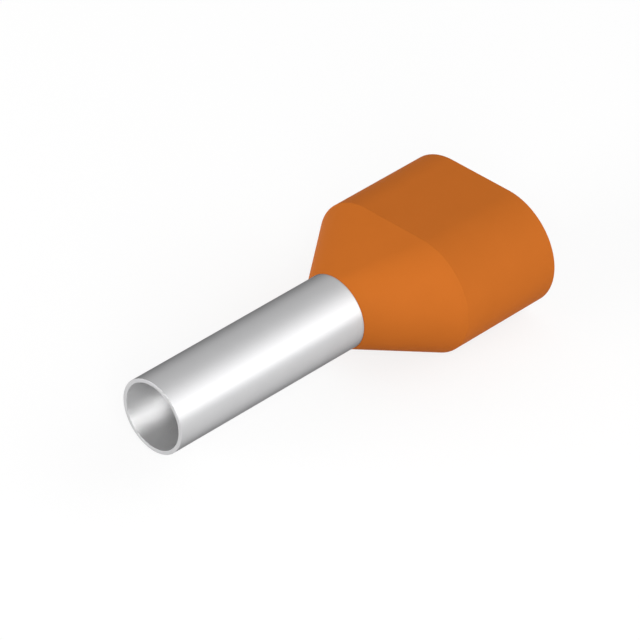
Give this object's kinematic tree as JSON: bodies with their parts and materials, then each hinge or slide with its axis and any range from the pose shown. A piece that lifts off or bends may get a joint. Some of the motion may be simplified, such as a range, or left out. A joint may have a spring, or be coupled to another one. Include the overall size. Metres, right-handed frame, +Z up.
{
  "type": "twin wire ferrule",
  "caption": "Tinned copper sleeve with a flared orange plastic collar, crimped over the bared ends of side-by-side stranded wires so they fit one terminal.",
  "frame": {"origin": "centre of the sleeve's open tip, on the sleeve's axis", "axes": "+X along the sleeve, from the tip towards the mouth where the wires enter; +Y across, from one wire to the other; +Z up, square to the collar's flat sides"},
  "size_m": [0.0186, 0.0084, 0.0052],
  "materials": {
    "tinned_copper": "satin tin plating over drawn copper, with fine lines along the tube",
    "orange_polypropylene": "moulded, matt, with a fine mould grain"
  },
  "bodies": {
    "root": {"contact_sleeve": "tinned_copper", "insulating_collar": "orange_polypropylene"}
  },
  "joints": []
}
